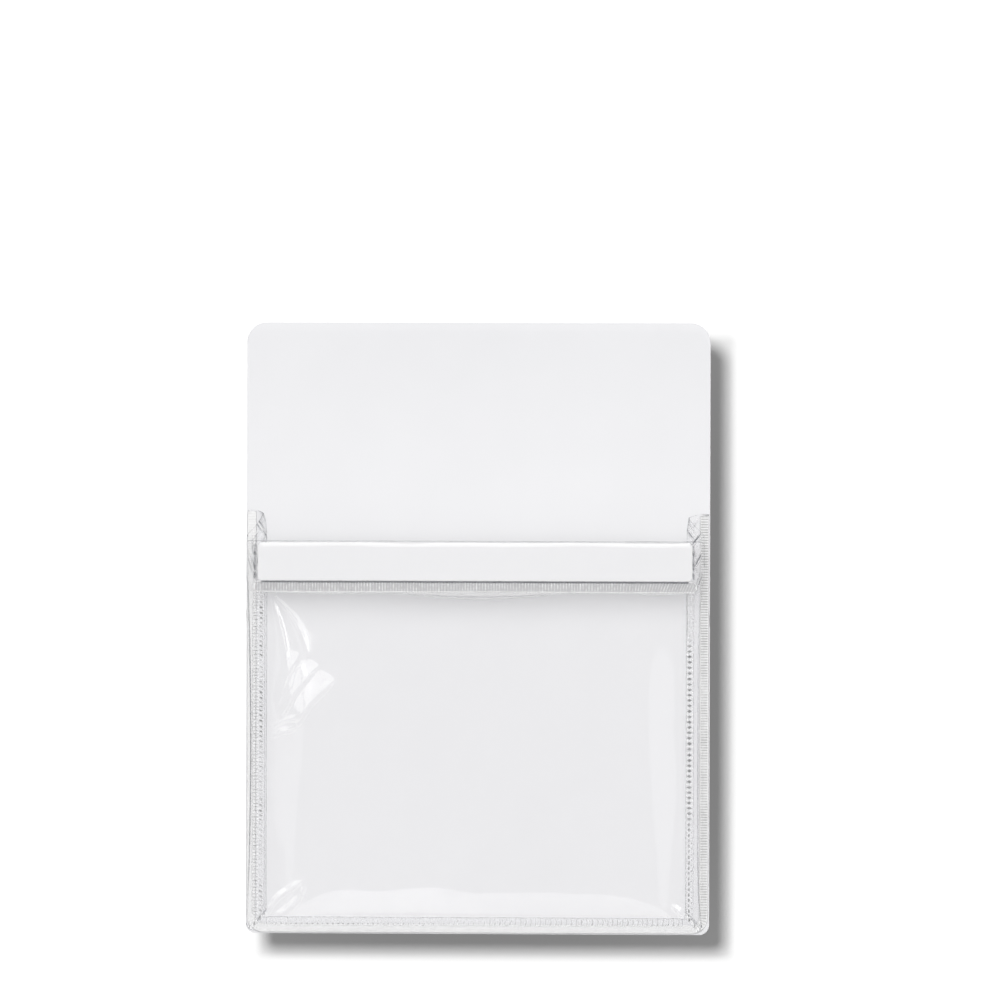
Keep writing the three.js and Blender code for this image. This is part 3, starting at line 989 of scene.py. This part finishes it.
flangeBar = {"width": 4.4, "thick": 0.5, "height": 0.06, "ragged": 0.01, "cells": 14, "round": 0.0,
             "shadow": True, "rib": (ladder, 1.34, 1.0)}
hemBar = {"width": 5.7, "thick": 0.9, "height": 0.08, "ragged": 0.01, "cells": 22, "round": 0.9,
          "shadow": True, "rib": (hemRibs, 1.46)}
bandBar = {"thick": 1.35, "height": 0.05, "round": 0.4, "shadow": False}
leftBar = {**bandBar, "width": 6.2, "ragged": 0.03, "cells": 36, "rib": (dashes, 1.75, 2.0)}
rightBar = {**bandBar, "width": 3.8, "ragged": 0.03, "cells": 26, "rib": (chain, 2.72, 5.0)}
bottomBar = {**bandBar, "width": 4.4, "ragged": 0.02, "cells": 26, "rib": (lowRibs, 2.58)}
mitreBar = {"width": 3.0, "thick": 0.5, "height": 0.06, "ragged": 0.15, "cells": 16, "round": 0.7,
            "shadow": False, "rib": (strokes, 3.4, 7.0)}
weldPlace = {
    "flange": 2.75,  # middle of the flange, from the panel's edge
    "flangeTop": 13.6,  # above the mouth
    "side": {-1: 109.7, 1: 108.8},  # middle of the side welds
    "sideGap": 3.0,  # short of the bottom and the hem
    "bottom": -147.6,
    "bottomEnd": 105.4,
    "hem": 20.9,
    "hemEnd": 112.3,
    "mitreInside": (106.6, -143.6),
    "mitreOutside": (114.6, -151.6),
    "behind": {"band": 0.1, "film": 0.05},  # how far a bar goes behind what it is pressed into
    "step": {"flange": 0.2, "side": 0.15, "bottom": 0.2, "hem": 0.16},
}


def straightRun(start, end, across, step):
    # points evenly spaced from start to end, with their distance along and the way across
    start, end = np.asarray(start, float), np.asarray(end, float)
    reach = np.linalg.norm(end - start)
    u = np.linspace(0, reach, int(reach / step) + 1)
    return u, start + (end - start) * (u / reach)[:, None], across


def flangeRun(step):
    # down the left edge, along the bottom and up the right edge with a quarter circle at each corner: the
    # way across turns from rightwards over upwards to leftwards, and the way along is square to it
    radius = bellows["cornerRadius"] - weldPlace["flange"]
    edge = halfPanel - weldPlace["flange"]
    tops = {side: mouth + weldPlace["flangeTop"] + sideShape["lift"][side] for side in (-1, 1)}
    foot = panelBottom + weldPlace["flange"] + radius
    left, right, bottom = tops[-1] - foot, tops[1] - foot, 2 * (edge - radius)
    quarter = radius * math.pi / 2
    reach = left + bottom + right + 2 * quarter
    u = np.linspace(0, reach, int(reach / step) + 1)

    def heading(at):
        return (np.clip(at - left, 0, quarter) + np.clip(at - left - quarter - bottom, 0, quarter)) / radius

    halfway = heading((u[1:] + u[:-1]) / 2)
    steps = np.stack([np.sin(halfway), 0 * halfway, -np.cos(halfway)], axis=1) * np.diff(u)[:, None]
    start = np.array([-edge, panelFace, tops[-1]])
    middle = start + np.concatenate([np.zeros((1, 3)), np.cumsum(steps, axis=0)])
    return u, middle, np.stack([np.cos(heading(u)), 0 * u, np.sin(heading(u))], axis=1)


def makeWelds():
    behind, step = weldPlace["behind"], weldPlace["step"]
    ribbedBar("flange_weld", "back", flangeWeld, flangeRun(step["flange"]), flangeBar)
    onBand = gussetLow[1] + bellows["film"] + behind["band"]
    low, high, gap = weldPlace["bottom"], weldPlace["hem"], weldPlace["sideGap"]
    for side, name, bar in ((-1, "left", leftBar), (1, "right", rightBar)):
        at = side * weldPlace["side"][side]
        run = straightRun((at, onBand, low + gap), (at, onBand, high - gap), rightwards, step["side"])
        ribbedBar(f"{name}_side_weld", "front", barWeld, run, bar)
        ends = [(side * x, onBand, z) for x, z in (weldPlace["mitreInside"], weldPlace["mitreOutside"])]
        slant = np.array([side * 1.0, 0.0, 1.0]) / math.sqrt(2)
        ribbedBar(f"{name}_mitre_weld", "front", barWeld, straightRun(*ends, slant, step["side"]), mitreBar)
    end = weldPlace["bottomEnd"]
    run = straightRun((-end, onBand, low), (end, onBand, low), upwards, step["bottom"])
    ribbedBar("bottom_weld", "front", lowWeld, run, bottomBar)
    end, onFilm = weldPlace["hemEnd"], filmHigh[1] + behind["film"]
    run = straightRun((-end, onFilm, high), (end, onFilm, high), upwards, step["hem"])
    ribbedBar("hem_weld", "front", hemWeld, run, hemBar)


makeWelds()
print("welds made")


# Label

labelShape = {
    "corner": 2.2, "edge": 0.12, "bow": 0.12, "bowLengths": (34.0, 14.0), "settled": 0.3,
    "paintedEdgeHighlight": (0.1, 0.9), "cols": 60, "rows": 40,
}


def makeLabel():
    # a card strip with round corners, settled in its sleeve and bowed by a cosine along it and one up it
    x, z = roundedSheet(labelLow, labelHigh, labelShape["corner"], labelShape["corner"],
                        labelShape["cols"], labelShape["rows"])
    middle = (labelLow[1] + labelHigh[1]) / 2
    length, height = labelShape["bowLengths"]
    y = middle - labelShape["bow"] * np.cos(x / length) * np.cos((z - labelLow[2]) / height)
    # the edge mark is a painted highlight along the card's cut edge
    inside = np.minimum(labelHigh[0] - np.abs(x), np.minimum(z - labelLow[2], labelHigh[2] - z))
    edge = 1 - smoothStep(inside, *labelShape["paintedEdgeHighlight"])
    z = z - labelShape["settled"]
    piece = sheetPiece("label_card_strip", x, y, z, labelHigh[1] - labelLow[1], [card], marks={"edge": edge})
    roundEdges(piece, labelShape["edge"])
    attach(piece, "label")
    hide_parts("label_strip")
    return piece


labelPiece = makeLabel()
print("label made")


# Stage: a white wall behind that turns forward into a floor below

stageShape = {
    "wall": 60.0, "floor": -420.0, "radius": 260.0, "up": 1500.0, "ahead": 2400.0, "half": 1900.0,
    "turnPoints": 24,
    "paint": (0.99, 0.99, 0.99, 1.0),
    "glow": (0.135, 0.6),  # the wall's own light, at the pocket's shadow and well away from it
    "glowFrom": (0.001, 0.012),  # these distances from the shadow, in metres
}


def seenRay(tree):
    # 1 for rays from the camera, off gloss or through clear film
    path = node(tree, "LightPath").outputs
    direct = maths(tree, "MAXIMUM", path["Is Camera Ray"], path["Is Glossy Ray"])
    return maths(tree, "MAXIMUM", direct, path["Is Transmission Ray"])


def makeStage():
    # a profile of wall, quarter circle and floor carried straight across; rays that look at it from in front
    # see it and all others pass. It glows by the distance from the oblong of the pocket's shadow
    wall, floor, radius = stageShape["wall"], stageShape["floor"], stageShape["radius"]
    turn = np.linspace(0, math.pi / 2, stageShape["turnPoints"])
    y = np.concatenate([[wall], wall - radius * (1 - np.cos(turn)), [-stageShape["ahead"]]])
    z = np.concatenate([[stageShape["up"]], floor + radius * (1 - np.sin(turn)), [floor]])
    x = np.array([-1.0, 1.0])[:, None] * stageShape["half"] * np.ones_like(y)
    points = np.stack([x, np.broadcast_to(y, x.shape), np.broadcast_to(z, x.shape)], axis=-1).reshape(-1, 3)
    sweep = placeMesh("studio_sweep", points, gridQuads(*x.shape).tolist())
    material, tree = newMaterial("studio_white")
    behind = node(tree, "NewGeometry").outputs["Backfacing"]
    shown = maths(tree, "SUBTRACT", seenRay(tree), behind, clamp=True)
    spot = node(tree, "SeparateXYZ", {0: objectPlace(tree)}).outputs
    across, _, down = lights["cast"]["towards"]
    sides = []
    for key, middle, half in (("X", across, halfPanel), ("Z", down, panelHigh[2])):
        offset = maths(tree, "ABSOLUTE", maths(tree, "SUBTRACT", spot[key], middle * mm))
        sides.append(maths(tree, "MAXIMUM", maths(tree, "SUBTRACT", offset, half * mm), 0.0))
    reach = node(tree, "CombineXYZ", dict(enumerate(sides))).outputs[0]
    reach = node(tree, "VectorMath", {0: reach}, operation="LENGTH").outputs["Value"]
    level = stretch(tree, reach, *stageShape["glow"], *stageShape["glowFrom"])
    paint = node(tree, "BsdfDiffuse", {"Color": stageShape["paint"]})
    glow = node(tree, "Emission", {"Color": (1, 1, 1, 1), "Strength": level})
    cover = node(tree, "AddShader", {0: paint.outputs[0], 1: glow.outputs[0]})
    finishWith(tree, partClear(tree, shown, (1, 1, 1, 1), cover))
    sweep.data.materials.append(material)
    return sweep


# Light: a broad soft key on the pocket, a smaller one that casts its shadow on the wall, banks that only the
# gloss shows, a fill from behind and the room

lights = {
    "key": {"towards": (-6.0, 61.7, -20.0), "strength": 2.64, "spread": 70.0},
    "cast": {"towards": (1.9, 61.7, -10.0), "strength": 1.86, "spread": 8.5},
    "rear": {"towards": (-8.0, -20.0, -12.0), "strength": 2.0, "spread": 40.0},
    # azimuth, elevation, distance in metres, size and power
    "banks": [
        (0.0, 16.5, 1.6, (2.2, 0.13), 2.4),
        (-6.0, 9.5, 3.6, (2.4, 0.56), 7.5),
        (-4.0, -15.8, 1.15, (2.0, 0.2), 1.25),
        (-8.9, -15.8, 1.15, (0.1, 0.2), 0.022),
        (4.5, -1.0, 3.6, (0.4, 1.8), 1.2),
        (-18.0, -1.0, 3.6, (0.45, 1.6), 1.0),
        (-34.0, 9.0, 3.6, (1.0, 0.5), 2.8),
        (-19.0, 12.4, 3.55, (0.46, 0.3), 1.0),
        (6.0, 8.0, 3.55, (0.42, 0.28), 1.2),
    ],
    "room": 0.16,
}


def addLamp(name, kind, **settings):
    lamp = bpy.data.lights.new(name, kind)
    for key, value in settings.items():
        setattr(lamp, key, value)
    holder = bpy.data.objects.new(name, lamp)
    bpy.context.scene.collection.objects.link(holder)
    return holder


def aim(holder, towards):
    holder.rotation_euler = Vector(towards).to_track_quat("-Z", "Y").to_euler()


def linkedTo(name, piece, state):
    # a collection that names one piece, to take it in or leave it out
    group = bpy.data.collections.new(name)
    group.objects.link(piece)
    group.collection_objects[0].light_linking.link_state = state
    return group


def makeLights(sweep, label):
    for name, state in (("key", "EXCLUDE"), ("cast", "INCLUDE"), ("rear", "EXCLUDE")):
        sun = lights[name]
        lamp = addLamp(name, "SUN", energy=sun["strength"], angle=math.radians(sun["spread"]))
        aim(lamp, sun["towards"])
        lamp.light_linking.receiver_collection = linkedTo(f"{name}_lit", sweep, state)
        lamp.visible_glossy = False
        if name == "key":
            lamp.light_linking.blocker_collection = linkedTo("key_shade", label, "EXCLUDE")
    for azimuth, elevation, distance, size, power in lights["banks"]:
        a, e = math.radians(azimuth), math.radians(elevation)
        out = Vector((math.sin(a) * math.cos(e), -math.cos(a) * math.cos(e), math.sin(e)))
        lamp = addLamp("bank", "AREA", energy=power, shape="RECTANGLE", size=size[0], size_y=size[1])
        lamp.visible_camera = False
        lamp.visible_diffuse = False
        lamp.location = out * distance
        aim(lamp, -out)
    world = bpy.data.worlds.new("room")
    world.use_nodes = True
    tree = world.node_tree
    tree.nodes.clear()
    level = stretch(tree, seenRay(tree), lights["room"], 1.0)
    background = node(tree, "Background", {"Color": (1, 1, 1, 1), "Strength": level})
    node(tree, "OutputWorld", {"Surface": background.outputs[0]})
    bpy.context.scene.world = world


# Camera: nearly square on, a little to the right, from far off and not quite level

view = {
    "azimuth": 6.5, "roll": 0.17, "distance": 12000.0, "sensor": 36.0,
    "width": 503.8,  # across the picture, at the panel
    "centre": (11.05, 64.7),  # middle of the picture, across and up from the panel's middle
    "farClip": 40.0,  # metres
}


def makeCamera():
    data = bpy.data.cameras.new("camera")
    data.sensor_width = view["sensor"]
    data.lens = view["sensor"] * view["distance"] / view["width"]
    data.clip_end = view["farClip"]
    camera = bpy.data.objects.new("camera", data)
    bpy.context.scene.collection.objects.link(camera)
    a = math.radians(view["azimuth"])
    back = Vector((math.sin(a), -math.cos(a), 0))
    across, up = view["centre"]
    target = Vector((across, panelFace, up))
    camera.location = (target + back * view["distance"]) * mm
    roll = Quaternion((0, 0, 1), math.radians(view["roll"]))
    camera.rotation_euler = ((-back).to_track_quat("-Z", "Y") @ roll).to_euler()
    bpy.context.scene.camera = camera


makeLights(makeStage(), labelPiece)
makeCamera()
scene = bpy.context.scene
scene.view_settings.view_transform = "Standard"
# enough for clear films many deep, while no light bounces on from one dull face to another
scene.cycles.transparent_max_bounces = 48
scene.cycles.max_bounces = 16
scene.cycles.diffuse_bounces = 0
print("stage, lights and camera made")
